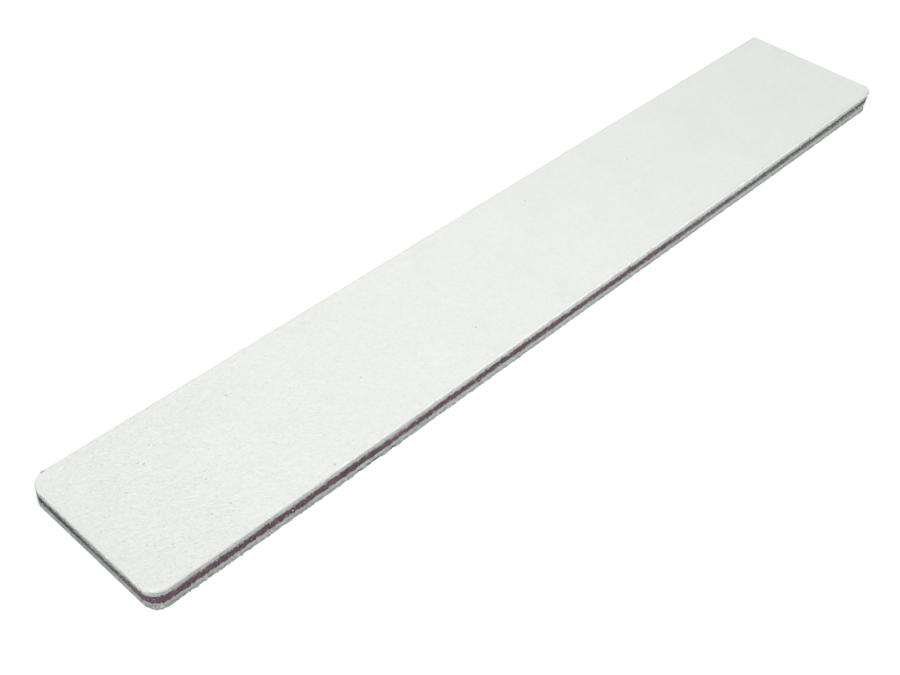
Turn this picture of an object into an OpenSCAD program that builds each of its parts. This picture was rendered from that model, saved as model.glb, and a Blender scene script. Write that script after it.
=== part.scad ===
// Wide straight emery board: a rigid plastic core between two foam pads, with an abrasive
// sheet on each face. Millimetres. The origin is the centre of the lower face, +X runs along
// the board and +Z points out of the upper face. One die cuts the whole laminate, so every
// ply has the board's outline, and each ply lies face to face on the next.

/* [Outline] */
// Length of the board, end to end
board_l = 178; // [60:1:320]
// Width of the board, edge to edge
board_w = 29; // [12:0.5:60]
// Radius of three of the cut corners, seen from above
corner_r = 2.8; // [1:0.1:5.8]
// Radius of the corner at +X +Y, which is sharper. It is never rounder than the other three.
sharp_corner_r = 0.6; // [0.6:0.1:5.8]

/* [Core and foam] */
// Thickness of the rigid plastic core
core_t = 1.22; // [0.4:0.01:4]
// Thickness of each foam pad
foam_t = 0.78; // [0.3:0.01:4]
// Thickness of the adhesive between a foam pad and the core
core_glue_t = 0.05; // [0.02:0.01:0.3]

/* [Abrasive sheets] */
// Thickness of the adhesive between an abrasive sheet and its foam pad
sheet_glue_t = 0.05; // [0.02:0.01:0.3]
// Thickness of the backing paper
paper_t = 0.2; // [0.08:0.01:0.6]
// Thickness of the resin coat that bonds the grit to the paper
bond_t = 0.04; // [0.02:0.01:0.2]
// Height of the grit over the bond coat, up to the tips of its grains
grit_t = 0.12; // [0.04:0.01:0.5]

/* [Cut edge] */
// Radius of the board's upper edge, which the die rolls over as it enters. It leaves the
// lower edge crisp.
rolled_r = 0.36; // [0.05:0.01:0.55]
// Depth of the dish round each foam pad, left as the foam springs back from the die
dish_d = 0.1; // [0.02:0.01:0.25]

/* [Colours] */
// Colour of the grit
grit_colour = "whitesmoke"; // [whitesmoke, gainsboro, lightgrey, pink]
// Colour of the plastic core
core_colour = "#8f657e"; // [#8f657e, #c96f8f, #5f7fa8, #3f3f3f]

/* [Hidden] */
$fn = 96;

// The plies of one side in their order from the core outward, and the two sides
CORE_GLUE = 0;
FOAM = 1;
SHEET_GLUE = 2;
PAPER = 3;
BOND = 4;
GRIT = 5;
ply_t = [core_glue_t, foam_t, sheet_glue_t, paper_t, bond_t, grit_t];
UPPER = 1;
LOWER = -1;

// Thickness of the first n plies of one side
function stack_t(n) = n == 0 ? 0 : ply_t[n - 1] + stack_t(n - 1);

board_t = core_t + 2 * stack_t(len(ply_t));
mid_z = board_t / 2;

// Lowest and highest level of a ply on one side of the core
function edge_z(side, n) = mid_z + side * (core_t / 2 + stack_t(n));
function low_z(side, ply) = min(edge_z(side, ply), edge_z(side, ply + 1));
function high_z(side, ply) = max(edge_z(side, ply), edge_z(side, ply + 1));

// Distances from the board's centre to the centre of one of the three like corners
corner_x = board_l / 2 - corner_r;
corner_y = board_w / 2 - corner_r;

// Radius of a corner. x and y are 0 on the plus side of the centre lines and 1 on the minus side.
sharp_r = min(sharp_corner_r, corner_r);
function radius_at(x, y) = x == 0 && y == 0 ? sharp_r : corner_r;

// The dish is an arc from face to face of the foam, at most a half circle
dish = min(dish_d, foam_t / 2);
dish_r = (foam_t * foam_t / 4 + dish * dish) / (2 * dish);

// Section of the whole cut board near its edge, as wide as corner_r. x is the distance outward
// and y the height: a block whose upper outer edge is rolled over by an arc.
module board_section() {
    square([corner_r, board_t - rolled_r]);
    square([corner_r - rolled_r, board_t]);
    translate([corner_r - rolled_r, board_t - rolled_r])
        circle(rolled_r);
}

// The part of that section between two levels
module ply_section(low, high) {
    intersection() {
        translate([0, low])
            square([corner_r, high - low]);
        board_section();
    }
}

// The same, with its edge dished between the two levels
module dished_section(low, high) {
    difference() {
        ply_section(low, high);
        translate([corner_r + dish_r - dish, (low + high) / 2])
            circle(dish_r);
    }
}

// The corner at +X +Y: the outer part of a section, as wide as the corner's radius r, turned
// about the corner's centre
module corner(r) {
    translate([board_l / 2 - r, board_w / 2 - r])
        rotate_extrude(angle = 90)
            intersection() {
                translate([r - corner_r, 0])
                    children();
                square([r, board_t]);
            }
}

// The end at +X, up to where a corner of radius r begins at +Y
module end(r) {
    translate([corner_x, board_w / 2 - r])
        rotate([90, 0, 0])
            linear_extrude(board_w / 2 - r + corner_y)
                children();
}

// The side at +Y, up to where a corner of radius r begins at +X
module side(r) {
    translate([-corner_x, corner_y])
        rotate([90, 0, 90])
            linear_extrude(board_l / 2 - r + corner_x)
                children();
}

// Carries a section round the outline: four corners, two ends and two sides, round a middle
// rectangle
module die_cut(low, high) {
    for (x = [0, 1], y = [0, 1])
        mirror([x, 0])
            mirror([0, y])
                corner(radius_at(x, y))
                    children();
    for (x = [0, 1])
        mirror([x, 0])
            end(radius_at(x, 0))
                children();
    for (y = [0, 1])
        mirror([0, y])
            side(radius_at(0, y))
                children();
    translate([-corner_x, -corner_y, low])
        cube([2 * corner_x, 2 * corner_y, high - low]);
}

// A ply between two levels whose edge is as the die leaves it
module plain_ply(low, high) {
    die_cut(low, high)
        ply_section(low, high);
}

// A soft ply, whose edge springs back
module dished_ply(low, high) {
    die_cut(low, high)
        dished_section(low, high);
}

// Rigid plastic sheet that keeps the board straight
module core_board() {
    color(core_colour)
        plain_ply(mid_z - core_t / 2, mid_z + core_t / 2);
}

// Contact adhesive that holds a foam pad to the core
module core_adhesive(side) {
    color("wheat")
        plain_ply(low_z(side, CORE_GLUE), high_z(side, CORE_GLUE));
}

// Closed-cell foam pad that cushions the abrasive sheet
module foam_pad(side) {
    color("#dde2de")
        dished_ply(low_z(side, FOAM), high_z(side, FOAM));
}

// Contact adhesive that holds an abrasive sheet to its foam pad
module sheet_adhesive(side) {
    color("wheat")
        plain_ply(low_z(side, SHEET_GLUE), high_z(side, SHEET_GLUE));
}

// Backing paper of an abrasive sheet
module backing_paper(side) {
    color("white")
        plain_ply(low_z(side, PAPER), high_z(side, PAPER));
}

// Cured resin in which the feet of the grains are set
module bond_coat(side) {
    color("ivory")
        plain_ply(low_z(side, BOND), high_z(side, BOND));
}

// Envelope of the abrasive grains and of the size coat over them
module grit_coat(side) {
    color(grit_colour)
        plain_ply(low_z(side, GRIT), high_z(side, GRIT));
}

core_board();
core_adhesive(UPPER);  // upper_core_adhesive
core_adhesive(LOWER);  // lower_core_adhesive
foam_pad(UPPER);  // upper_foam_pad
foam_pad(LOWER);  // lower_foam_pad
sheet_adhesive(UPPER);  // upper_sheet_adhesive
sheet_adhesive(LOWER);  // lower_sheet_adhesive
backing_paper(UPPER);  // upper_backing_paper
backing_paper(LOWER);  // lower_backing_paper
bond_coat(UPPER);  // upper_bond_coat
bond_coat(LOWER);  // lower_bond_coat
grit_coat(UPPER);  // upper_grit_coat
grit_coat(LOWER);  // lower_grit_coat
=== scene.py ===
"""Wide straight emery board. The die-cut plies get their real surfaces: abrasive grains, cut paper
edges, sprung foam and a scored plastic core, on a plain pale stage. Lengths are in metres."""

import math

import bmesh
import bpy
import numpy as np
from bpy.props import FloatProperty, FloatVectorProperty, IntProperty, PointerProperty
from mathutils import Matrix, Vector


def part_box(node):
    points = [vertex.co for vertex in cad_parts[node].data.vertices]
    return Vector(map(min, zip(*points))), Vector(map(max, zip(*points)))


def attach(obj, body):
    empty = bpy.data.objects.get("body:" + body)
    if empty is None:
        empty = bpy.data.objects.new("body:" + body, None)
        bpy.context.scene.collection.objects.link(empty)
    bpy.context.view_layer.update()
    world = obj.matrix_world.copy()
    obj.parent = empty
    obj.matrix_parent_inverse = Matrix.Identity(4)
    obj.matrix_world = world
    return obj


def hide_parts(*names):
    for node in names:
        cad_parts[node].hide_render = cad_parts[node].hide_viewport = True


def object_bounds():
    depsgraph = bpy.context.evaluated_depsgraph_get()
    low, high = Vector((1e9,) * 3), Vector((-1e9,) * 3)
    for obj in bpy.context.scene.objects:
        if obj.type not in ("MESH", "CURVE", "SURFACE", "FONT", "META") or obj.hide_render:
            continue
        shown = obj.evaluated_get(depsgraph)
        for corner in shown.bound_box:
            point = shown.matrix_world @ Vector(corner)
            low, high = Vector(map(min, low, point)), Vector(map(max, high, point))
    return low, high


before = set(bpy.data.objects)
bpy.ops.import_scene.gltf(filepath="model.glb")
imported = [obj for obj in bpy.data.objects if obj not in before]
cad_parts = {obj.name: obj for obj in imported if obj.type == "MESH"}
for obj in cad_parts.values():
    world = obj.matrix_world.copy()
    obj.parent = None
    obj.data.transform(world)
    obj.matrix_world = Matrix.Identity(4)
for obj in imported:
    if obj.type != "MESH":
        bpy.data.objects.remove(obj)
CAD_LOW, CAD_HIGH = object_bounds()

bl_info = {
    "name": "Emery board",
    "version": (1, 0, 0),
    "blender": (4, 5, 0),
    "location": "View3D > Sidebar > Emery board",
    "description": "Builds the surfaces of a laminated emery board and its stage",
    "category": "Object",
}

MM = 0.001
BODY = "root"
SIDES = "upper", "lower"
HALF_L, HALF_W, TOP = CAD_HIGH
# Two levels or edges closer than this are the same one
TINY = 0.001 * MM


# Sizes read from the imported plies

def points_of(node):
    """Vertices of a CAD node, one row each."""
    return np.array([v.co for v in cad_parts[node].data.vertices], float)


def levels_of(node):
    """Lowest and highest level of a ply."""
    low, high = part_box(node)
    return low.z, high.z


def corner_radius(side):
    """Radius of the corner at +X on the long side at +Y or -Y, given as 1 or -1: the side ends where
    its corner begins."""
    core = points_of("core_board")
    return HALF_L - core[side * core[:, 1] > HALF_W - TINY, 0].max()


def rolled_radius():
    """Radius of the upper edge that the die rolled over."""
    grit = points_of("upper_grit_coat")
    return HALF_W - grit[grit[:, 2] > TOP - TINY, 1].max()


def dish_depth():
    """Depth of the dish round a foam pad, taken where a straight side ends."""
    foam = points_of("upper_foam_pad")
    at_end = abs(foam[:, 0] - CORNER_X) < TINY
    return HALF_W - abs(foam[at_end & (abs(foam[:, 1]) > CORNER_Y), 1]).min()


CORNER_R = corner_radius(-1)
# The corner at +X +Y is sharper than the other three
SHARP_R = corner_radius(1)
# Distances from the board's centre to the centre of one of the three like corners
CORNER_X = HALF_L - CORNER_R
CORNER_Y = HALF_W - CORNER_R
ROLLED_R = rolled_radius()
DISH = dish_depth()


def radius_at(x, y):
    """Radius of the corner in the quarter of the board where a point lies."""
    return np.where((np.asarray(x) > 0) & (np.asarray(y) > 0), SHARP_R, CORNER_R)


def seeded(seed, side="upper"):
    """Random numbers from a fixed seed, with the next seed for the lower side."""
    return np.random.default_rng(seed + SIDES.index(side))


# The die's path

# Fewest steps round a corner
CORNER_STEPS = 10
# Insets of the root and the tip of a dragged lip
LIP_ROOT = 0.06 * MM
LIP_TIP = -0.01 * MM


class DiePath:
    """Stations round the board's outline, counter-clockwise from the start of the long side at -Y."""

    def __init__(self, spacing):
        edge, angles = [], []
        last = np.array([-CORNER_X, -HALF_W])
        for turn, (x, y) in enumerate(((1, -1), (1, 1), (-1, 1), (-1, -1))):
            radius = radius_at(x, y)
            centre = np.array([x * (HALF_L - radius), y * (HALF_W - radius)])
            steps = max(round(radius * math.pi / 2 / spacing), CORNER_STEPS)
            arc = np.linspace(turn - 1, turn, steps + 1) * math.pi / 2
            bend = centre + radius * np.stack([np.cos(arc), np.sin(arc)], 1)
            steps = round(np.linalg.norm(bend[0] - last) / spacing)
            edge += [last + (bend[0] - last) * k / steps for k in range(steps)]
            angles += [arc[0]] * steps
            edge += list(bend[:-1])
            angles += list(arc[:-1])
            last = bend[-1]
        self.edge = np.array(edge)
        self.out = np.stack([np.cos(angles), np.sin(angles)], 1)
        # 1 on the end at -X, and falling to 0 round its corners
        self.at_end = np.clip(-self.out[:, 0], 0, 1) ** 4
        self.count = len(edge)
        self.spacing = spacing

    def ring(self, inset, level):
        """Points of the path moved inward by inset, at a level. Both may vary from station to station."""
        inset = np.broadcast_to(inset, self.count)
        level = np.broadcast_to(level, self.count)
        return np.column_stack([self.edge - self.out * inset[:, None], level])

    def lip(self, level, drawn_to, inset=0):
        """Root and tip of a lip that the die dragged from a ply's face at a level to another level."""
        return [self.ring(LIP_ROOT + inset, level), self.ring(LIP_TIP + inset, drawn_to)]

    def wander(self, rng, reach):
        """Smooth random wave round the path, with a deviation of 1 and features about reach long."""
        pull = np.exp(-((np.fft.rfftfreq(self.count) * reach / self.spacing * math.pi) ** 2) / 2)
        wave = np.fft.irfft(np.fft.rfft(rng.standard_normal(self.count)) * pull, self.count)
        return wave / wave.std()


def depth_inside(x, y):
    """Distance of points on a face from the board's outline."""
    radius = radius_at(x, y)
    beyond_x, beyond_y = abs(x) - (HALF_L - radius), abs(y) - (HALF_W - radius)
    outside = np.hypot(np.maximum(beyond_x, 0), np.maximum(beyond_y, 0))
    return radius - np.where(outside > 0, outside, np.maximum(beyond_x, beyond_y))


def rolled_drop(depth):
    """How far the rolled upper edge lies below the face at a distance inside the outline."""
    rest = np.clip(ROLLED_R - depth, 0, ROLLED_R)
    return ROLLED_R - np.sqrt(ROLLED_R**2 - rest**2)


def rolled_inset(level):
    """Distance of the rolled upper edge from the outline at a level."""
    up = np.clip(level - (TOP - ROLLED_R), 0, ROLLED_R)
    return ROLLED_R - np.sqrt(ROLLED_R**2 - up**2)


# The long side at -Y is cut slightly convex. Its ends lie this far inside a straight cut, and the
# higher the power, the longer its straight middle.
CROWN = 0.32 * MM
CROWN_POWER = 4
# The cut leans out towards the upper face by these lengths at +X and at +Y
LEAN_X = 0.3 * MM
LEAN_Y = 0.2 * MM
# Against its radius, the corner at +X -Y is fuller at the upper face and slighter at the lower one
FULLER = 0.4 * MM
SLIGHTER = 0.36 * MM


def as_cut(points):
    """Points of a square cut moved as the board's own cut asks."""
    x, y, up = points[:, 0], points[:, 1], points[:, 2] / TOP
    along, across = x / HALF_L, y / HALF_W
    end = np.clip((x - CORNER_X) / CORNER_R, 0, 1)
    front = np.clip((-y - CORNER_Y) / CORNER_R, 0, 1)
    fuller = 2 * end * front * (FULLER * up - SLIGHTER * (1 - up))
    lean_x = LEAN_X * up * (1 + along) / 2
    lean_y = LEAN_Y * up * (1 + across) / 2
    crown = CROWN * abs(along) ** CROWN_POWER * (1 - across) / 2
    return np.column_stack([x + lean_x + fuller * end, y + lean_y + crown - fuller * front, points[:, 2]])


# Meshes

def new_piece(name, points, faces, finish, slot, stands_for=()):
    """A piece of the board from its points and faces, in its finish, in place of CAD nodes."""
    mesh = bpy.data.meshes.new(name)
    mesh.from_pydata(as_cut(points).tolist(), [], faces)
    mesh.materials.append(finish)
    mesh.validate()
    piece = bpy.data.objects.new(name, mesh)
    bpy.context.scene.collection.objects.link(piece)
    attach(piece, BODY)
    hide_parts(*stands_for)
    return piece


def wall_faces(rings, count):
    """Quads that join rings of points, from the lowest ring up."""
    here = np.arange(count)
    after = (here + 1) % count
    quads = [
        np.stack([here, after, after + count, here + count], 1) + row * count
        for row in range(rings - 1)
    ]
    return np.concatenate(quads).tolist()


def new_ply(name, rings, finish, slot, node):
    """A ply as a closed solid between a lowest and a highest ring of points, in place of its node."""
    count = len(rings[0])
    faces = wall_faces(len(rings), count)
    faces.append(list(range(count))[::-1])
    faces.append([(len(rings) - 1) * count + k for k in range(count)])
    return new_piece(name, np.concatenate(rings), faces, finish, slot, [node])


def grain_field(rng, pitch, inset):
    """Jittered grid of grain tips over a face whose outline lies inset from the board's. Gives the
    x and y of each tip as a grid of rows along the board."""
    jitter = 0.42
    end_steps = np.array([0, 0.04, 0.1, 0.17, 0.25, 0.34, 0.45]) * MM
    curve = CORNER_R - inset
    corner_steps = round(curve * math.pi / 2 / pitch)
    turn = np.linspace(0, math.pi / 2, corner_steps + 1)[1:]
    middle = np.linspace(-CORNER_Y, CORNER_Y, round(2 * CORNER_Y / pitch) + 1)
    rows = np.concatenate([-CORNER_Y - curve * np.sin(turn)[::-1], middle, CORNER_Y + curve * np.sin(turn)])

    def reach(end):
        """How far each row runs towards the end at -X or +X, given as -1 or 1."""
        radius = radius_at(end, rows)
        past = np.maximum(abs(rows) - (HALF_W - radius), 0)
        return HALF_L - radius + np.sqrt(np.maximum((radius - inset) ** 2 - past**2, 0))

    between = round(2 * (HALF_L - end_steps[-1]) / pitch)
    share = np.linspace(0, 1, between + 1)[1:-1]
    x = np.stack([
        np.concatenate([
            start + end_steps,
            start + end_steps[-1] + share * (end - start - 2 * end_steps[-1]),
            (end - end_steps)[::-1],
        ])
        for start, end in zip(-reach(-1), reach(1))
    ])
    y = np.repeat(rows[:, None], x.shape[1], 1)
    inner = np.zeros(x.shape, bool)
    inner[1:-1, len(end_steps) : -len(end_steps)] = True
    gaps = abs(np.diff(rows, prepend=rows[0] - pitch, append=rows[-1] + pitch))
    x += inner * rng.uniform(-jitter, jitter, x.shape) * pitch
    y += inner * rng.uniform(-jitter, jitter, x.shape) * np.minimum(gaps[:-1], gaps[1:])[:, None]
    return x, y


def grid_faces(rng, rows, columns):
    """Triangles over a grid of points, split along a random diagonal."""
    corner = (np.arange(rows - 1)[:, None] * columns + np.arange(columns - 1)).ravel()
    right, up = corner + 1, corner + columns
    across = up + 1
    rising = rng.random(corner.size) < 0.5
    first = np.where(rising, across, up)
    second = np.where(rising, corner, right)
    lower = np.stack([corner, right, first], 1)
    upper = np.stack([second, across, up], 1)
    return np.concatenate([lower, upper]).tolist()


def grid_rim(rows, columns):
    """Places of a grid's outer points, counter-clockwise."""
    low = np.arange(columns)
    right = np.arange(1, rows) * columns + columns - 1
    top = (rows - 1) * columns + np.arange(columns - 2, -1, -1)
    left = np.arange(rows - 2, 0, -1) * columns
    return np.concatenate([low, right, top, left])


# Finishes

# Nearly all values of a noise lie in this range
NOISE = 0.3, 0.7
# Numbers of a mix node's inputs and output for colours
FIRST_COLOUR, SECOND_COLOUR, MIXED_COLOUR = 6, 7, 2


class Finish:
    """A procedural material. Its patterns lie in the board's own coordinates, and the size of a
    pattern is the width of one of its features."""

    def __init__(self, name, roughness, specular):
        self.material = bpy.data.materials.new(name)
        self.material.use_nodes = True
        self.tree = self.material.node_tree
        self.shader = self.tree.nodes["Principled BSDF"]
        self.shader.inputs["Roughness"].default_value = roughness
        self.shader.inputs["Specular IOR Level"].default_value = specular
        self.place = self.node("TexCoord").outputs["Object"]
        # Distances from the board's origin along its axes
        self.x, self.y, self.z = self.filled(self.node("SeparateXYZ"), self.place)

    def node(self, kind, **settings):
        made = self.tree.nodes.new("ShaderNode" + kind)
        for name, value in settings.items():
            setattr(made, name, value)
        return made

    def put(self, value, socket):
        """Links a node's value to a socket, or sets the socket to a number or colour."""
        if isinstance(value, bpy.types.NodeSocket):
            self.tree.links.new(value, socket)
        elif hasattr(value, "__len__") and len(value) == 3 and socket.type == "RGBA":
            socket.default_value = (*value, 1)
        else:
            socket.default_value = value

    def filled(self, made, *values):
        """Fills a node's first inputs, in the order in which it has them, and gives its outputs."""
        for value, socket in zip(values, made.inputs):
            self.put(value, socket)
        return made.outputs

    def pattern(self, kind, size, squeeze):
        """A pattern in the board's coordinates, squeezed along each axis by a factor."""
        mapping = self.node("Mapping")
        self.put(self.place, mapping.inputs["Vector"])
        mapping.inputs["Scale"].default_value = squeeze
        made = self.node(kind)
        self.put(mapping.outputs["Vector"], made.inputs["Vector"])
        made.inputs["Scale"].default_value = 1 / size
        return made

    def noise(self, size, detail, squeeze=(1, 1, 1)):
        made = self.pattern("TexNoise", size, squeeze)
        made.inputs["Detail"].default_value = detail
        return made.outputs["Fac"]

    def cells(self, size, squeeze=(1, 1, 1)):
        """Distance to the nearest cell's centre, and a random number that is the same over a cell."""
        made = self.pattern("TexVoronoi", size, squeeze).outputs
        return made["Distance"], self.filled(self.node("SeparateColor"), made["Color"])["Red"]

    def varied(self, size, detail, low, high, squeeze=(1, 1, 1)):
        """A number that wanders between low and high over the surface."""
        return self.spread(self.noise(size, detail, squeeze), *NOISE, low, high)

    def along(self, low, high, to_low=0.0, to_high=1.0):
        """A number that goes from to_low to to_high as x goes from low to high."""
        return self.spread(self.x, low, high, to_low, to_high)

    def apart(self, value, other=0.0):
        """Distance between two values."""
        return self.math("ABSOLUTE", self.math("SUBTRACT", value, other), 0)

    def lower_shade(self, colour):
        """Painted shade on a cut edge, darker and greener towards the lower face: none from a little above
        the core, and the full colour along the lower face."""
        drift = self.varied(1.5 * MM, 3, -0.35 * MM, 0.35 * MM)
        up = self.math("ADD", self.z, drift)
        return self.blend(self.spread(up, 0.1 * MM, 0.75 * TOP, 1, 0), (1, 1, 1), colour)

    def held(self, share):
        """Painted shade along the cut long sides, darkest near -X and round the corners at +X. Share is
        how much of it shows."""
        near = self.spread(self.math("POWER", self.along(-HALF_L, -0.2 * HALF_L), 0.5), 0, 1, 0.66, 1)
        far = self.along(0.75 * HALF_L, HALF_L, 1, 0.88)
        corner = self.along(HALF_L - 3.5 * MM, HALF_L - 0.5 * MM, 1, 0.55)
        side = self.spread(self.apart(self.y), CORNER_Y, HALF_W - 0.3 * MM, 0, share)
        return self.spread(side, 0, 1, 1, self.math("MULTIPLY", near, self.math("MULTIPLY", far, corner)))

    def past_cut(self):
        """How far a point lies outside the cut's sides, taken as if it had no round corners. It is less
        than nothing on the board."""
        up = self.spread(self.z, 0, TOP)
        along = self.math("DIVIDE", self.apart(self.x), HALF_L)
        crown = self.math("MULTIPLY", self.math("POWER", along, CROWN_POWER), CROWN)
        upright_x = self.math("SUBTRACT", self.x, self.math("MULTIPLY", up, LEAN_X))
        upright_y = self.math("SUBTRACT", self.y, self.math("MULTIPLY", up, LEAN_Y))
        end = self.math("MAXIMUM", self.math("MULTIPLY", self.x, -1), upright_x)
        side = self.math("MAXIMUM", self.math("SUBTRACT", crown, self.y), upright_y)
        return self.math("MAXIMUM", self.math("SUBTRACT", side, HALF_W), self.math("SUBTRACT", end, HALF_L))

    def torn(self):
        """Painted shadow in the lower sheet's torn places."""
        tone = 1
        for place, length, _ in TEARS:
            away = self.apart(self.x, place - HALF_L)
            tone = self.math("MINIMUM", tone, self.spread(away, 0.35 * length, 0.55 * length, 0.12, 1))
        tone = self.spread(self.y, -HALF_W + 1.2 * MM, -HALF_W + 1.5 * MM, tone, 1)
        return self.spread(self.z, 0.4 * MM, 0.6 * MM, tone, 1)

    def spread(self, value, low, high, to_low=0.0, to_high=1.0):
        """The range from low to high of a value, carried over to another range and held within it."""
        return self.filled(self.node("MapRange"), value, low, high, to_low, to_high)["Result"]

    def math(self, operation, first, second):
        return self.filled(self.node("Math", operation=operation), first, second)["Value"]

    def blend(self, share, first, second, way="MIX"):
        """From the first colour to the second as share goes from 0 to 1."""
        made = self.node("Mix", data_type="RGBA", blend_type=way)
        self.put(share, made.inputs["Factor"])
        self.put(first, made.inputs[FIRST_COLOUR])
        self.put(second, made.inputs[SECOND_COLOUR])
        return made.outputs[MIXED_COLOUR]

    def shade(self, colour, *shares):
        """A colour darkened or lightened by each share in turn."""
        for share in shares:
            colour = self.blend(1, colour, share, "MULTIPLY")
        return colour

    def relief(self, height, depth, below=None):
        """Fine relief of a depth, over an earlier relief if there is one."""
        made = self.node("Bump")
        made.inputs["Strength"].default_value = 1
        made.inputs["Distance"].default_value = depth
        self.put(height, made.inputs["Height"])
        if below:
            self.put(below, made.inputs["Normal"])
        return made.outputs["Normal"]

    def finished(self, **inputs):
        for name, value in inputs.items():
            self.put(value, self.shader.inputs[name.replace("_", " ").title()])
        return self.material


def white_grit(side, look):
    """White grains under a chalky size coat, with duller grains and small pores between them. The
    coat is coarsest at -X. Painted shade makes it brightest a third of the way along and a little
    greyer towards both ends. Its rim is darkened with painted shade, more towards +X, and most of all
    on the lower face."""
    finish = Finish(side + "_white_grit", 0.7, 0.3)
    # Painted shade: the rim darker than the face, more towards +X and most of all on the lower face
    rim_shade_tone = 0.93 if side == "upper" else 0.4
    past = finish.past_cut()
    shaded_rim = finish.along(-HALF_L, HALF_L, rim_shade_tone + 0.03, rim_shade_tone - 0.05)
    rim = finish.spread(past, -0.6 * MM, -0.2 * MM, 1, shaded_rim)
    # Painted shade along the cut edge of the long sides
    held = finish.spread(past, -0.22 * MM, -0.06 * MM, 1, finish.held(0.65))
    # Painted shade: the face brightest a third of the way along and greyer towards both ends
    off_brightest = finish.math("POWER", finish.apart(finish.x, -HALF_L / 3), 1.5)
    shaded = finish.blend(finish.spread(off_brightest, 0, (4 * HALF_L / 3) ** 1.5), (1, 1, 1), look.face_shade_tint)
    near_end_shade = finish.along(-HALF_L, -0.75 * HALF_L, 0.98, 1)
    near = finish.math("POWER", finish.along(-HALF_L, 0.5 * HALF_L, 1, 0), 2)
    fade = finish.spread(near, 0, 1, 0.009, 0.038)
    _, grain = finish.cells(0.19 * MM)
    mottle = finish.varied(0.45 * MM, 2, finish.math("SUBTRACT", 1, fade), finish.math("ADD", 1, fade))
    pore_size, pore_kind = finish.cells(0.6 * MM)
    hollow = finish.spread(pore_size, 0.05, 0.48, 1, 0)
    pore = finish.math("MULTIPLY", hollow, finish.spread(pore_kind, 0.35, 0.9))
    pores = finish.math("SUBTRACT", 1, finish.math("MULTIPLY", pore, finish.math("MULTIPLY", fade, 3.8)))
    grains = finish.shade(
        look.grit_colour, finish.varied(7 * MM, 3, 0.985, 1.01), finish.varied(1.1 * MM, 2, 0.988, 1.01),
        mottle, finish.spread(grain, 0, 1, 0.985, 1.015), pores,
    )
    lumps, _ = finish.cells(0.15 * MM)
    # The base colour also carries painted shadow in the lower face's torn places
    return finish.finished(
        base_color=finish.shade(grains, shaded, rim, held, finish.torn(), near_end_shade),
        roughness=finish.spread(grain, 0, 1, 0.55, 0.85),
        normal=finish.relief(finish.noise(0.06 * MM, 2), 0.01 * MM, finish.relief(lumps, 0.02 * MM)),
    )


def cut_paper(side, look):
    """Cut edge of backing paper: thin layers of fibres, bitten away where it meets the foam, with
    specks of plastic dragged over them. It is darker towards +X with painted shade."""
    finish = Finish(side + "_cut_paper", 0.85, 0.2)
    low, high = levels_of(side + "_backing_paper")
    # The lower paper's colour is darker as painted shade, and held sets how much painted shade along the long
    # sides shows
    if side == "upper":
        colour, foam_level, held = look.paper_colour, low, 0.8
    else:
        colour, foam_level, held = look.lower_paper_shaded_colour, high, 0.5
    # Painted shade, darker towards +X
    far_shade = finish.along(-0.2 * HALF_L, HALF_L, 1, 0.93)
    layers = finish.noise(0.5 * MM, 4, (1, 1, 9))
    fibres = finish.spread(layers, *NOISE, 0.84, 1.06)
    fluff = finish.noise(0.12 * MM, 3)
    specks = finish.spread(finish.noise(0.3 * MM, 2), 0.66, 0.74, 0, 0.3)
    bite = finish.spread(finish.noise(0.45 * MM, 2, (1, 1, 0.2)), 0.48, 0.7, -0.04 * MM, 0.2 * MM)
    past_bite = finish.math("SUBTRACT", finish.apart(finish.z, foam_level), bite)
    bare = finish.spread(past_bite, -0.03 * MM, 0.03 * MM, 0.9, 0)
    # Painted shade, darker and greener towards the lower face
    lower_shaded = finish.lower_shade(look.lower_shade_colour)
    # The tone also carries painted shade along the long sides and painted shadow in the torn places
    whole = finish.shade(colour, fibres, far_shade, lower_shaded, finish.held(held), finish.torn())
    return finish.finished(
        base_color=finish.blend(specks, finish.blend(bare, whole, look.foam_colour), look.core_colour),
        normal=finish.relief(fluff, 0.02 * MM, finish.relief(layers, 0.02 * MM)),
    )


def pad_foam(side, look):
    """Cut closed-cell foam, streaked by the die, with plastic dust where the die dragged it over from
    the core."""
    finish = Finish(side + "_pad_foam", 0.9, 0.15)
    low, high = levels_of("core_board")
    # held sets how much painted shade along the long sides shows
    core_level, held = (high, 1) if side == "upper" else (low, 0.5)
    cell, kind = finish.cells(0.14 * MM, (1, 1, 1.3))
    # Painted shade in the hollows of the foam's cells
    hollows = finish.spread(cell, 0.1, 0.6, 0.86, 1.05)
    tone = finish.spread(kind, 0, 1, 0.94, 1.05)
    drift = finish.varied(2.5 * MM, 3, 0.95, 1.04)
    streaks = finish.varied(0.28 * MM, 3, 0.84, 1.1, (1, 1, 0.35))
    reach = finish.varied(0.3 * MM, 3, 0.1 * MM, 0.4 * MM)
    dust = finish.spread(finish.apart(finish.z, core_level), 0, reach, 0.27, 0)
    # Painted shade, darker and greener towards the lower face
    lower_shaded = finish.lower_shade(look.lower_shade_colour)
    cut = finish.shade(look.foam_colour, hollows, tone, drift, streaks, lower_shaded, finish.held(held))
    return finish.finished(
        base_color=finish.blend(dust, cut, look.core_colour), normal=finish.relief(cell, 0.05 * MM),
    )


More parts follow.
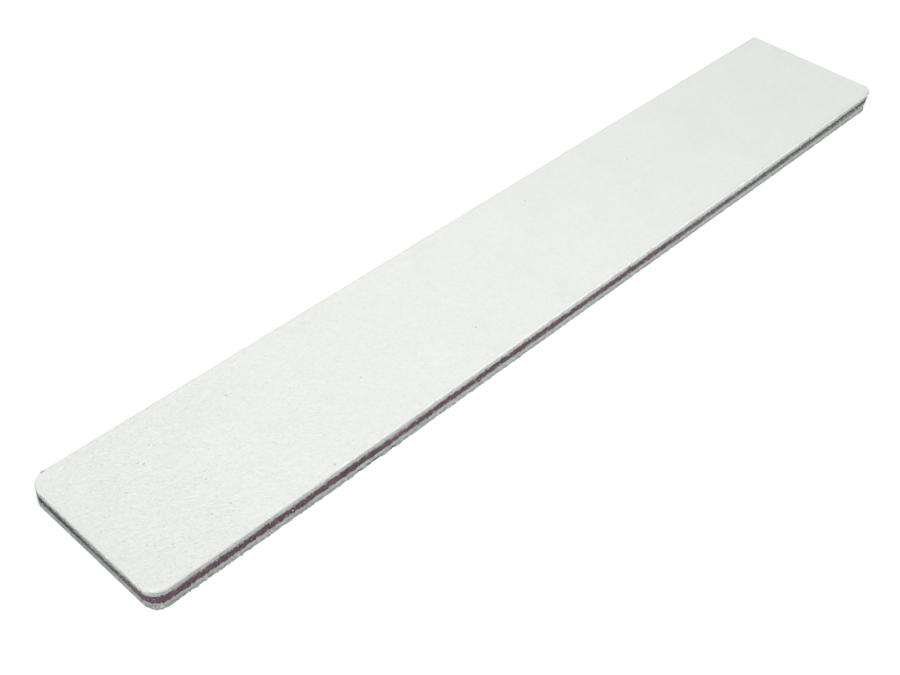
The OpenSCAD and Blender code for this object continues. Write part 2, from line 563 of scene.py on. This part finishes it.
def scored_plastic(look):
    """Plum core plastic that the die scored, redder where it is freshly torn, with pale stress marks
    and edges darkened with painted shade. Dust greys it towards +X, and painted shade darkens it
    towards +X and greys and darkens the end at -X, there most of all towards +Y."""
    finish = Finish("scored_plastic", 0.6, 0.2)
    low, high = levels_of("core_board")
    scores = finish.noise(0.3 * MM, 3, (1, 1, 0.3))
    slow = finish.spread(finish.noise(9 * MM, 2), 0.35, 0.65, 0.75, 1.22)
    # Painted shade: darker along the core's upper and lower edges, under the burrs, and a little lighter in
    # the middle
    rim = finish.spread(
        finish.apart(finish.z, (low + high) / 2), finish.varied(0.4 * MM, 3, 0.25 * MM, 0.6 * MM),
        0.68 * MM, 1.07, 0.62,
    )
    along = finish.along(0.05 * HALF_L, 0.65 * HALF_L, 0.05, 0.8)
    # Painted shade on the end at -X: greyer and darker, most of all towards +Y, with fewer pale marks
    past_corner = finish.spread(finish.y, -CORNER_Y + 2 * MM, -CORNER_Y + 8 * MM, 0.1, 0.9)
    patchy = finish.spread(finish.noise(2.5 * MM, 2), 0.35, 0.6, 0.5, 1)
    end_shade = finish.math("MULTIPLY", past_corner, patchy)
    at_end = finish.along(-HALF_L + 0.05 * MM, -HALF_L + 0.6 * MM, end_shade, 0)
    strength = finish.spread(at_end, 0, 0.6, 0.55, 0.1)
    marks = finish.spread(finish.noise(0.25 * MM, 3, (1, 1, 0.6)), 0.6, 0.72, 0, strength)
    torn = finish.spread(finish.noise(0.55 * MM, 2), 0.5, 0.66, 0, 0.5)
    clean = finish.blend(torn, look.core_colour, look.fresh_core_colour)
    dusty = finish.blend(finish.math("MAXIMUM", along, at_end), clean, look.core_dust_and_shade_colour)
    # Painted shade on the end at -X, darkest towards +Y
    end_shade_tone = finish.spread(finish.y, -3 * MM, 4 * MM, 0.88, 0.28)
    # Painted shade: darker on the end at -X, towards +X and along the long sides
    darkened = finish.shade(
        dusty, finish.spread(at_end, 0, 0.9, 1, end_shade_tone), finish.along(0.75 * HALF_L, 0.92 * HALF_L, 1, 0.8),
        finish.spread(scores, *NOISE, 0.46, 1.5), finish.varied(2 * MM, 3, 0.78, 1.2), slow,
        finish.varied(0.16 * MM, 2, 0.64, 1.36), rim, finish.held(1),
    )
    return finish.finished(
        base_color=finish.blend(marks, darkened, look.core_mark_colour),
        roughness=finish.spread(scores, *NOISE, 0.45, 0.75),
        normal=finish.relief(finish.noise(0.1 * MM, 3), 0.02 * MM, finish.relief(scores, 0.05 * MM)),
    )


def thin_coat(name, roughness, specular, colour, dark, *pattern):
    """Cut edge of a coat or film, with painted shade in the hollows of its pattern."""
    finish = Finish(name, roughness, specular)
    rough = finish.noise(*pattern)
    return finish.finished(
        base_color=finish.shade(colour, finish.spread(rough, *NOISE, dark, 1.05)),
        normal=finish.relief(rough, 0.02 * MM),
    )


def small_bit(name, roughness, specular, colour, facet_size, dark, light):
    """Surface of a grain or crumb, from dark to light over each of its facets."""
    finish = Finish(name, roughness, specular)
    facets, _ = finish.cells(facet_size)
    return finish.finished(
        base_color=finish.shade(colour, finish.spread(facets, 0.1, 0.7, dark, light)),
        normal=finish.relief(facets, 0.01 * MM),
    )


def studio_floor(colour, glow):
    """Seamless pale sweep, lit a little from within so that it stays white round the board."""
    finish = Finish("studio_floor", 0.8, 0.1)
    finish.shader.inputs["Emission Color"].default_value = (1, 1, 1, 1)
    finish.shader.inputs["Emission Strength"].default_value = glow
    return finish.finished(base_color=finish.shade(colour, finish.varied(0.4, 2, 0.99, 1.0)))


# What a user may change

def a_colour(name, description, default):
    """Property that holds a colour."""
    return FloatVectorProperty(
        name=name, description=description, default=default, min=0, max=1, subtype="COLOR",
    )


def a_number(name, description, default, low, high, kind=FloatProperty, **settings):
    """Property that holds a number, whole if its kind is IntProperty."""
    return kind(name=name, description=description, default=default, min=low, max=high, **settings)


def a_length(*what):
    """Property that holds a small length."""
    return a_number(*what, precision=5, unit="LENGTH")


def an_angle(name, description, degrees, **limits):
    """Property that holds an angle."""
    return FloatProperty(
        name=name, description=description, default=math.radians(degrees), subtype="ANGLE", **limits,
    )


class BoardLook(bpy.types.PropertyGroup):
    """Sizes and colours of the board's surfaces."""

    grain_pitch: a_length(
        "Grain pitch", "Distance between neighbouring grain tips", 0.285 * MM, 0.27 * MM, 2 * MM,
    )
    grain_height: a_length("Grain height", "Height of grains over hollows", 0.05 * MM, 0, 0.1 * MM)
    edge_spacing: a_length(
        "Edge spacing", "Distance between stations along the die's cut", 0.13 * MM, 0.1 * MM, 2 * MM,
    )
    dish: a_length("Foam dish", "Depth to which the foam's cut edge springs back", DISH, 0, 0.3 * MM)
    pit_count: a_number("Foam pits", "Number of cells opened in each foam pad", 1500, 0, 10000, IntProperty)
    raggedness: a_length(
        "Raggedness", "How far the boundaries between core and foam stray up and down",
        0.075 * MM, 0, 0.15 * MM,
    )
    lower_lip: a_length(
        "Lower lip", "A twelfth of how far the die drags the lower foam up over the core at +X",
        0.03 * MM, 0, 0.3 * MM,
    )
    stray_count: a_number("Stray grains", "Number of small dull grains in each face", 14, 1, 500, IntProperty)
    crumb_count: a_number("Crumbs", "Number of small crumbs on the core's edge", 120, 1, 2000, IntProperty)
    grit_colour: a_colour("Grit", "Colour of the abrasive faces", (0.746, 0.757, 0.722))
    # Painted shade tints the faces towards both ends, most at +X
    face_shade_tint: a_colour("Worn tint", "Tint of the faces where most worn, at +X", (0.917, 0.943, 0.93))
    paper_colour: a_colour("Paper", "Colour of the backing paper's cut edge", (0.82, 0.84, 0.8))
    # Painted shade: the lower paper's colour is darker than the upper paper's
    lower_paper_shaded_colour: a_colour(
        "Lower paper", "Colour of the lower paper's cut edge, under the soil", (0.407, 0.438, 0.389),
    )
    # Painted shade: this tint darkens the cut edges towards the lower face
    lower_shade_colour: a_colour(
        "Soil", "Tint of the cut edge where it is soiled, full at the lower face", (0.655, 0.731, 0.718),
    )
    foam_colour: a_colour("Foam", "Colour of the foam pads", (0.58, 0.615, 0.58))
    core_colour: a_colour("Core", "Colour of the plastic core", (0.108, 0.05, 0.081))
    # Dust towards +X and painted shade on the end at -X share this colour
    core_dust_and_shade_colour: a_colour("Core dust", "Colour of the core where it is dusty", (0.097, 0.087, 0.095))
    fresh_core_colour: a_colour("Fresh core", "Colour of the core where it is torn", (0.16, 0.056, 0.088))
    core_mark_colour: a_colour("Core marks", "Colour of the core's stress marks", (0.36, 0.23, 0.31))
    glue_colour: a_colour("Adhesive", "Colour of the adhesive lines", (0.6, 0.62, 0.55))
    resin_colour: a_colour("Resin", "Colour of the resin coats", (0.8, 0.82, 0.77))
    stray_colour: a_colour("Stray grains", "Colour of the dull grains", (0.47, 0.47, 0.44))


class StageLook(bpy.types.PropertyGroup):
    """Floor, light and camera."""

    floor_radius: a_number("Floor radius", "Radius of the round floor", 8, 1, 9, unit="LENGTH")
    floor_colour: a_colour("Floor", "Colour of the floor", (0.93, 0.93, 0.93))
    floor_glow: a_number("Floor glow", "Light that the floor gives off by itself", 0.1, 0, 1)
    overhead: a_number("Overhead light", "Strength of the broad light from above", 3.06, 0, 20)
    overhead_width: an_angle("Overhead width", "Angle that the broad light covers", 36, min=0, max=math.pi)
    overhead_forward: an_angle(
        "Overhead forward", "Lean of the broad light towards -Y", 22, min=0, max=math.pi / 2,
    )
    overhead_sideways: an_angle(
        "Overhead sideways", "Lean of the broad light towards -X", 16, min=0, max=math.pi / 2,
    )
    lamp: a_number("Lamp", "Power of the soft lamp over the board, in watts", 0.42, 0, 50)
    horizon: a_number("Horizon", "Brightness of the backdrop at floor level", 0.9, 0, 5)
    camera_place: FloatVectorProperty(
        name="Camera place", description="Place of the camera", subtype="TRANSLATION", unit="LENGTH",
        default=(-143.08 * MM, -114.80 * MM, 148.60 * MM),
    )
    camera_heading: an_angle("Heading", "Direction in which the camera looks, from +X towards +Y", 42.603)
    camera_dip: an_angle("Dip", "Angle at which the camera looks down", 42.105)
    camera_roll: an_angle("Roll", "Turn of the camera about its own line of sight", 2.036)
    camera_lens: a_number("Lens", "Focal length on a 36 mm wide sensor, in millimetres", 54.73, 10, 300)


# Where the die dragged one ply over the next

def core_boundary(path, side, look):
    """Level at which the core gives way to the foam of one side, from station to station. The die
    drags plastic over the foam in places and foam over the plastic in others. It drags the lower foam
    furthest up towards +X, and drags both foams over the core on the end at -X. It cuts the corners
    more cleanly."""
    rng = seeded(51, side)
    low, high = levels_of("core_board")
    calm = 1 - abs(path.out[:, 0] * path.out[:, 1])
    waves = 0.36 * path.wander(rng, 7 * MM)
    teeth = 2.3 * path.wander(rng, 0.12 * MM) * (calm - 0.15 * path.at_end)
    stray = (waves + teeth) * look.raggedness
    along = path.edge[:, 0] / HALF_L
    if side == "upper":
        dip = 0.3 * np.clip(1 - ((path.edge[:, 1] - 2 * MM) / (13 * MM)) ** 2, 0, 1)
        return high + (0.03 * along**4 - dip * path.at_end - 0.06 * (1 - along**2)) * MM + stray
    dragged_up = look.lower_lip * (2.6 + 3.4 * along + 6 * along**3)
    return low + dragged_up + 0.32 * MM * path.at_end + stray


def sheet_boundary(path, side):
    """Level at which the paper of one side gives way to its foam. The die drags the paper's fibres
    over the foam, furthest on the end at -X."""
    rng = seeded(53, side)
    low, high = levels_of(side + "_sheet_adhesive")
    strand = 0.03 + 0.04 * path.wander(rng, 3 * MM) + 0.08 * path.wander(rng, 0.2 * MM)
    reach = np.clip(strand * (1 + 2.2 * path.at_end), 0.005, 0.25 + 0.3 * path.at_end) * MM
    return low - reach if side == "upper" else high + 0.5 * reach


def pushed_out(x):
    """How far the die pushed the lower sheet's long edges out of the outline: round its torn places
    and towards +X. It drew them in a little between these."""
    torn = 0.06 * np.exp(-(((x + HALF_L - TEARS[0][0]) / (12 * MM)) ** 2))
    drawn_in = 0.05 * np.exp(-(((x - 31 * MM) / (25 * MM)) ** 2))
    far_end = 0.2 * np.clip(x / HALF_L, 0, 1) ** 4
    return (torn - drawn_in + far_end) * MM


def lower_fringe(rng, path):
    """How far the lower sheet's edge and its fibres stand out of the outline where the die left the
    board. The fibres are longest towards -X, and at the corner at -X -Y they stand out as a lip."""
    x = path.edge[:, 0]
    fibres = 0.04 + 0.015 * path.wander(rng, 4 * MM) + 0.15 * path.wander(rng, 0.25 * MM)
    sides = np.clip(fibres, -0.13, 0.28) * (1 - 0.5 * x / HALF_L) * MM + pushed_out(x)
    corner = np.clip(-path.out, 0, 1).prod(1) * 2
    return sides * abs(path.out[:, 1]) + 0.65 * MM * corner**2


# Damage that one edge of the board shows

# Places along the long side at -Y, from the end at -X, where the lower sheet's edge is torn: the
# place, the length and the depth of each tear
TEARS = MM * np.array([(39.5, 3.2, 0.2), (36.7, 0.9, 0.15), (43.4, 0.8, 0.17)])


def torn_depth(x, y):
    """How much of the lower sheet's edge is torn away at points of the outline."""
    from_end = x + HALF_L
    depth = np.zeros(np.shape(x))
    for place, length, deep in TEARS:
        bite = np.clip(1 - ((from_end - place) / (length / 2)) ** 2, 0, 1)
        depth = np.maximum(depth, deep * np.sqrt(bite))
    return depth * (y < -CORNER_Y)


# Coarse dull grains in the upper face, by x and y
STRAYS = MM * np.array([
    (-58.5, 8.13), (-35.4, 8.84), (-75.5, 5.41), (-20.5, -7.45), (33.8, 4.86), (10.5, 9.43),
    (-56.3, -13.56), (-86.65, 14.18), (-86.2, 14.14), (-86.4, 14.2), (-76.1, 6.11), (-71.4, -8.85),
    (-83.2, -7.33), (-80.5, 2.69), (-71.1, -3.06), (-74.5, -8.67), (-41.4, -3.09),
])
# Crumbs of foam on the core's edge. The first number runs along the cut from the start of the long
# side at -Y and is negative round the corner before it. The height and the size of each follow.
CRUMBS = MM * np.array([
    (12.17, 2.18, 0.15), (21.5, 1.95, 0.14), (21.0, 1.68, 0.24), (13.7, 1.6, 0.16), (19.6, 2.13, 0.1),
    (24.8, 1.76, 0.1), (42.5, 1.5, 0.16), (-2.2, 1.9, 0.12), (60.3, 1.8, 0.09),
])


# Operators, one for each group of pieces

class BOARD_OT_abrasive_coats(bpy.types.Operator):
    """Covers both faces with separate abrasive grains"""

    bl_idname = "board.abrasive_coats"
    bl_label = "Abrasive coats"

    def execute(self, context):
        look = context.scene.board_look
        for side in SIDES:
            solid, finish = grain_coat(side, look), white_grit(side, look)
            new_piece(side + "_abrasive_grains", *solid, finish, "abrasive_grit", [side + "_grit_coat"])
        return {"FINISHED"}


def grain_coat(side, look):
    """Points and faces of one coat of grains, a closed solid with its flat side on the resin."""
    rng = seeded(11, side)
    low, high = levels_of(side + "_grit_coat")
    upper = side == "upper"
    base = low if upper else high
    x, y = grain_field(rng, look.grain_pitch, rolled_inset(base) if upper else 0)
    rows, columns = x.shape
    rim = grid_rim(rows, columns)
    inside = np.ones(x.shape, bool)
    inside.ravel()[rim] = False
    rough = look.grain_height * rng.random(x.shape) ** 1.4 * (0.8 - 0.4 * x / HALF_L)
    # One grain in a hundred is missing
    rough[rng.random(x.shape) < 0.01] += 0.4 * look.grain_height
    if upper:
        z = TOP - rolled_drop(depth_inside(x, y)) - rough
        z = np.where(inside, np.maximum(z, base + 0.01 * MM), base)
        grid = np.stack([x, y, z], -1).reshape(-1, 3)
        faces = grid_faces(rng, rows, columns)
        faces.append(rim[::-1].tolist())
        return grid, faces
    fibres = 0.17 * MM * rng.random(x.shape) * (1 - 0.5 * x / HALF_L)
    frayed = np.where(inside, 0, torn_depth(x, y) - fibres - pushed_out(x))
    y = np.where(abs(y) > CORNER_Y, y - np.sign(y) * frayed, y)
    z = np.where(inside, rough, rough * 0.8)
    grid = np.stack([x, y, z], -1).reshape(-1, 3)
    rim_points = grid[rim]
    rim_points[:, 2] = base
    top = len(grid) + np.arange(len(rim))
    wall = np.concatenate([rim, top])[wall_faces(2, len(rim))]
    faces = [f[::-1] for f in grid_faces(rng, rows, columns)]
    faces += wall.tolist()
    faces.append(top.tolist())
    return np.concatenate([grid, rim_points]), faces


class BOARD_OT_sheet_edges(bpy.types.Operator):
    """Makes the backing papers and the resin coats with their cut, fibrous edges"""

    bl_idname = "board.sheet_edges"
    bl_label = "Paper and resin"

    def execute(self, context):
        look = context.scene.board_look
        resin = thin_coat("cured_resin", 0.35, 0.45, look.resin_colour, 0.85, 0.15 * MM, 3)
        path = DiePath(look.edge_spacing)
        _, fringe_top = levels_of("lower_backing_paper")
        torn = torn_depth(path.edge[:, 0], path.edge[:, 1])
        for side in SIDES:
            rng = seeded(21, side)
            ragged = abs(path.wander(rng, 1.2 * MM)) * 0.02 * MM
            fringe = lower_fringe(rng, path)
            for name, node, finish, slot, rows, fuzz in (
                ("_paper_backing", "_backing_paper", cut_paper(side, look), "backing_paper", 5, 0.02 * MM),
                ("_resin_coat", "_bond_coat", resin, "bond_resin", 2, 0.008 * MM),
            ):
                low, high = levels_of(side + node)
                rings = []
                for level in np.linspace(low, high, rows):
                    own = abs(rng.standard_normal(path.count)) * fuzz
                    if side == "upper":
                        rings.append(path.ring(rolled_inset(level) + ragged + own, level))
                    else:
                        share = 1 - level / fringe_top
                        rings.append(path.ring(ragged + own + torn - fringe * share, level))
                if rows > 2 and side == "upper":
                    rings[:1] = path.lip(low, sheet_boundary(path, side))
                elif rows > 2:
                    rings[-1:] = path.lip(high, sheet_boundary(path, side), torn)[::-1]
                new_ply(side + name, rings, finish, slot, side + node)
        return {"FINISHED"}


class BOARD_OT_foam_pads(bpy.types.Operator):
    """Makes both foam pads with a sprung, pitted edge"""

    bl_idname = "board.foam_pads"
    bl_label = "Foam pads"

    def execute(self, context):
        look = context.scene.board_look
        path = DiePath(look.edge_spacing)
        for side in SIDES:
            rng = seeded(31, side)
            low, high = levels_of(side + "_foam_pad")
            rows = round((high - low) / (0.1 * MM)) + 1
            half = (high - low) / 2
            radius = (half**2 + look.dish**2) / (2 * look.dish) if look.dish else 0
            levels = np.linspace(low, high, rows)
            edge_level = core_boundary(path, side, look)
            slack = 1 + 0.22 * path.wander(rng, 3 * MM)
            arc = np.sqrt(np.maximum(radius**2 - (levels - (low + half)) ** 2, 0))
            insets = (arc - (radius - look.dish))[:, None] * slack
            insets += abs(rng.standard_normal((rows, path.count))) * 0.008 * MM
            open_pits(rng, insets, levels, path, look.pit_count)
            rings = [path.ring(inset, level) for inset, level in zip(insets, levels)]
            if side == "upper":
                rings[:1] = path.lip(low, np.minimum(edge_level, low - 0.005 * MM))
            else:
                rings[-1:] = path.lip(high, np.maximum(edge_level, high + 0.005 * MM))[::-1]
            pad = new_ply(side + "_foam", rings, pad_foam(side, look), "foam", side + "_foam_pad")
        return {"FINISHED"}


def open_pits(rng, insets, levels, path, count):
    """Sinks round pits into a foam edge, where the die opened its cells."""
    places = rng.integers(0, path.count, count)
    heights = rng.uniform(levels[0], levels[-1], count)
    radii = rng.uniform(0.06, 0.17, count) * MM
    for place, height, radius in zip(places, heights, radii):
        span = math.ceil(radius / path.spacing)
        near = np.arange(-span, span + 1)
        stations = (place + near) % path.count
        away = np.hypot(near * path.spacing, (levels - height)[:, None])
        bowl = np.sqrt(np.clip(radius**2 - away**2, 0, None)) * 0.6
        insets[:, stations] += bowl


class BOARD_OT_core(bpy.types.Operator):
    """Makes the plastic core with a scored edge and the burr that the die left"""

    bl_idname = "board.core"
    bl_label = "Core"

    def execute(self, context):
        look = context.scene.board_look
        path = DiePath(look.edge_spacing)
        rng = seeded(41)
        low, high = levels_of("core_board")
        scored = abs(path.wander(rng, 0.25 * MM)) * 0.014 * MM
        lean = abs(path.wander(rng, 4 * MM)) * 0.006 * MM
        lower_burr = np.minimum(core_boundary(path, "lower", look), low - 0.002 * MM)
        upper_burr = np.maximum(core_boundary(path, "upper", look), high + 0.002 * MM)
        rings = path.lip(low, lower_burr)
        for level in np.linspace(low + 0.06 * MM, high - 0.06 * MM, 9):
            own = abs(rng.standard_normal(path.count)) * 0.006 * MM
            rings.append(path.ring(scored + lean + own, level))
        rings += path.lip(high, upper_burr)[::-1]
        new_ply("plastic_core", rings, scored_plastic(look), "core_plastic", "core_board")
        return {"FINISHED"}


def lumps(rng, places, sizes, flatness):
    """Points and faces of small irregular lumps, each as wide as its size. Flatness is the share of
    the width that is left of the height."""
    ball = bmesh.new()
    bmesh.ops.create_icosphere(ball, subdivisions=2, radius=0.5)
    round_points = np.array([v.co for v in ball.verts])
    round_faces = np.array([[v.index for v in face.verts] for face in ball.faces])
    ball.free()
    points, faces = [], []
    for place, size in zip(places, sizes):
        faces += (round_faces + len(points) * len(round_points)).tolist()
        rough = round_points * rng.uniform(0.7, 1.15, (len(round_points), 1)) * rng.uniform(0.75, 1.25, 3)
        points.append(place + rough * (1, 1, flatness) * size)
    return np.concatenate(points), faces


class BOARD_OT_stray_bits(bpy.types.Operator):
    """Sets coarse dull grains in the faces and crumbs of foam on the core's edge"""

    bl_idname = "board.stray_bits"
    bl_label = "Stray grains and crumbs"

    def execute(self, context):
        look = context.scene.board_look
        rng = seeded(61)
        count = look.stray_count
        loose = rng.uniform(-1, 1, (2 * count, 2)) * (CORNER_X, CORNER_Y)
        sizes = np.concatenate([rng.uniform(0.3, 0.45, len(STRAYS)), rng.uniform(0.1, 0.22, 2 * count)]) * MM
        flat = np.concatenate([STRAYS, loose])
        level = TOP - 0.03 * MM - rolled_drop(depth_inside(flat[:, 0], flat[:, 1]))
        level[-count:] = 0.03 * MM
        points, faces = lumps(rng, np.column_stack([flat, level]), sizes, 0.35)
        points[:, 2] = np.clip(points[:, 2], 0.002 * MM, TOP - 0.002 * MM)
        finish = small_bit("dark_grain", 0.35, 0.5, look.stray_colour, 0.05 * MM, 0.7, 1.3)
        new_piece("stray_grains", points, faces, finish, "abrasive_grit")

        path = DiePath(look.edge_spacing)
        low, high = levels_of("core_board")
        count = look.crumb_count
        known = np.round(CRUMBS[:, 0] / path.spacing).astype(int)
        stations = np.concatenate([known, rng.integers(0, path.count, count)])
        levels = np.concatenate([CRUMBS[:, 1], rng.uniform(low, high, count)])
        sizes = np.concatenate([CRUMBS[:, 2], rng.uniform(0.04, 0.1, count) * MM])
        places = np.column_stack([path.edge[stations] - path.out[stations] * 0.02 * MM, levels])
        finish = small_bit("pale_crumb", 0.8, 0.2, look.foam_colour, 0.04 * MM, 0.9, 1.2)
        new_piece("foam_crumbs", *lumps(rng, places, sizes, 0.8), finish, "foam")
        return {"FINISHED"}


class BOARD_OT_glue_lines(bpy.types.Operator):
    """Makes the thin films of adhesive, which end a little inside the cut"""

    bl_idname = "board.glue_lines"
    bl_label = "Adhesive lines"

    def execute(self, context):
        colour = context.scene.board_look.glue_colour
        finish = thin_coat("dried_glue", 0.4, 0.4, colour, 0.82, 0.3 * MM, 3, (1, 1, 3))
        path = DiePath(0.5 * MM)
        rng = seeded(71)
        for node in [side + ply for side in SIDES for ply in ("_core_adhesive", "_sheet_adhesive")]:
            low, high = levels_of(node)
            shrunk = 0.04 * MM + abs(path.wander(rng, 2 * MM)) * 0.01 * MM
            middle = path.ring(shrunk - 0.01 * MM, (low + high) / 2)
            rings = [path.ring(shrunk, low), middle, path.ring(shrunk, high)]
            new_ply(node + "_film", rings, finish, "adhesive_film", node)
        return {"FINISHED"}


class BOARD_OT_stage(bpy.types.Operator):
    """Sets the board on a pale floor, in soft light from above, before the camera"""

    bl_idname = "board.stage"
    bl_label = "Stage"

    def execute(self, context):
        look = context.scene.stage_look
        context.scene.view_settings.view_transform = "Standard"
        lay_floor(look)
        light_board(context.scene, look)
        place_camera(context.scene, look)
        return {"FINISHED"}


# Size of the soft lamp, and its place
LAMP_SIZE = 0.12, 0.1
LAMP_PLACE = -0.035, -0.02, 0.4
# Brightness of the backdrop, as a share of the brightness at floor level, by height
BACKDROP = (0.0, 1.0), (0.03, 0.85), (0.1, 0.25), (0.25, 0.05), (1.0, 0.03)


def lay_floor(look):
    """Round floor that the board lies on."""
    steps = 96
    turns = np.linspace(0, 2 * math.pi, steps, endpoint=False)
    points = np.stack([np.cos(turns), np.sin(turns), np.zeros(steps)], 1) * look.floor_radius
    mesh = bpy.data.meshes.new("floor")
    mesh.from_pydata(points.tolist(), [], [list(range(steps))])
    mesh.materials.append(studio_floor(look.floor_colour, look.floor_glow))
    floor = bpy.data.objects.new("floor", mesh)
    bpy.context.scene.collection.objects.link(floor)


def light_board(scene, look):
    """Broad light from above, a soft lamp near the middle and a backdrop that is pale low down."""
    sun = bpy.data.lights.new("overhead_light", "SUN")
    sun.energy = look.overhead
    sun.angle = look.overhead_width
    overhead = bpy.data.objects.new("overhead_light", sun)
    overhead.rotation_euler = (look.overhead_forward, -look.overhead_sideways, 0)
    scene.collection.objects.link(overhead)
    panel = bpy.data.lights.new("soft_lamp", "AREA")
    panel.shape = "RECTANGLE"
    panel.size, panel.size_y = LAMP_SIZE
    panel.energy = look.lamp
    lamp = bpy.data.objects.new("soft_lamp", panel)
    lamp.location = LAMP_PLACE
    scene.collection.objects.link(lamp)

    scene.world = bpy.data.worlds.new("backdrop")
    scene.world.use_nodes = True
    tree = scene.world.node_tree
    direction = tree.nodes.new("ShaderNodeTexCoord").outputs["Generated"]
    split = tree.nodes.new("ShaderNodeSeparateXYZ")
    ramp = tree.nodes.new("ShaderNodeValToRGB")
    tree.links.new(direction, split.inputs[0])
    tree.links.new(split.outputs["Z"], ramp.inputs["Fac"])
    while len(ramp.color_ramp.elements) < len(BACKDROP):
        ramp.color_ramp.elements.new(0.5)
    for element, (height, share) in zip(ramp.color_ramp.elements, BACKDROP):
        element.position = height
        element.color = (share, share, share, 1)
    tree.links.new(ramp.outputs["Color"], tree.nodes["Background"].inputs["Color"])
    tree.nodes["Background"].inputs["Strength"].default_value = look.horizon


def place_camera(scene, look):
    """Camera at the height and angle from which the board is looked at."""
    lens = bpy.data.cameras.new("camera")
    lens.lens = look.camera_lens
    camera = bpy.data.objects.new("camera", lens)
    camera.matrix_world = (
        Matrix.Translation(look.camera_place)
        @ Matrix.Rotation(look.camera_heading - math.pi / 2, 4, "Z")
        @ Matrix.Rotation(math.pi / 2 - look.camera_dip, 4, "X")
        @ Matrix.Rotation(look.camera_roll, 4, "Z")
    )
    scene.collection.objects.link(camera)
    scene.camera = camera


class BOARD_PT_panel(bpy.types.Panel):
    """Sizes, colours and steps of the emery board"""

    bl_idname = "BOARD_PT_panel"
    bl_label = "Emery board"
    bl_space_type = "VIEW_3D"
    bl_region_type = "UI"
    bl_category = "Emery board"

    def draw(self, context):
        for group, title in ((context.scene.board_look, "Board"), (context.scene.stage_look, "Stage")):
            box = self.layout.box()
            box.label(text=title)
            for name in group.__annotations__:
                box.prop(group, name)
        for step in STEPS:
            self.layout.operator(step.bl_idname)


STEPS = (
    BOARD_OT_abrasive_coats, BOARD_OT_sheet_edges, BOARD_OT_foam_pads, BOARD_OT_core,
    BOARD_OT_stray_bits, BOARD_OT_glue_lines, BOARD_OT_stage,
)
CLASSES = (BoardLook, StageLook, *STEPS, BOARD_PT_panel)


def register():
    for made in CLASSES:
        bpy.utils.register_class(made)
    bpy.types.Scene.board_look = PointerProperty(type=BoardLook)
    bpy.types.Scene.stage_look = PointerProperty(type=StageLook)


def unregister():
    del bpy.types.Scene.stage_look
    del bpy.types.Scene.board_look
    for made in reversed(CLASSES):
        bpy.utils.unregister_class(made)


def main():
    register()
    bpy.ops.board.abrasive_coats()
    bpy.ops.board.sheet_edges()
    bpy.ops.board.foam_pads()
    bpy.ops.board.core()
    bpy.ops.board.stray_bits()
    bpy.ops.board.glue_lines()
    bpy.ops.board.stage()


if __name__ == "__main__":
    main()
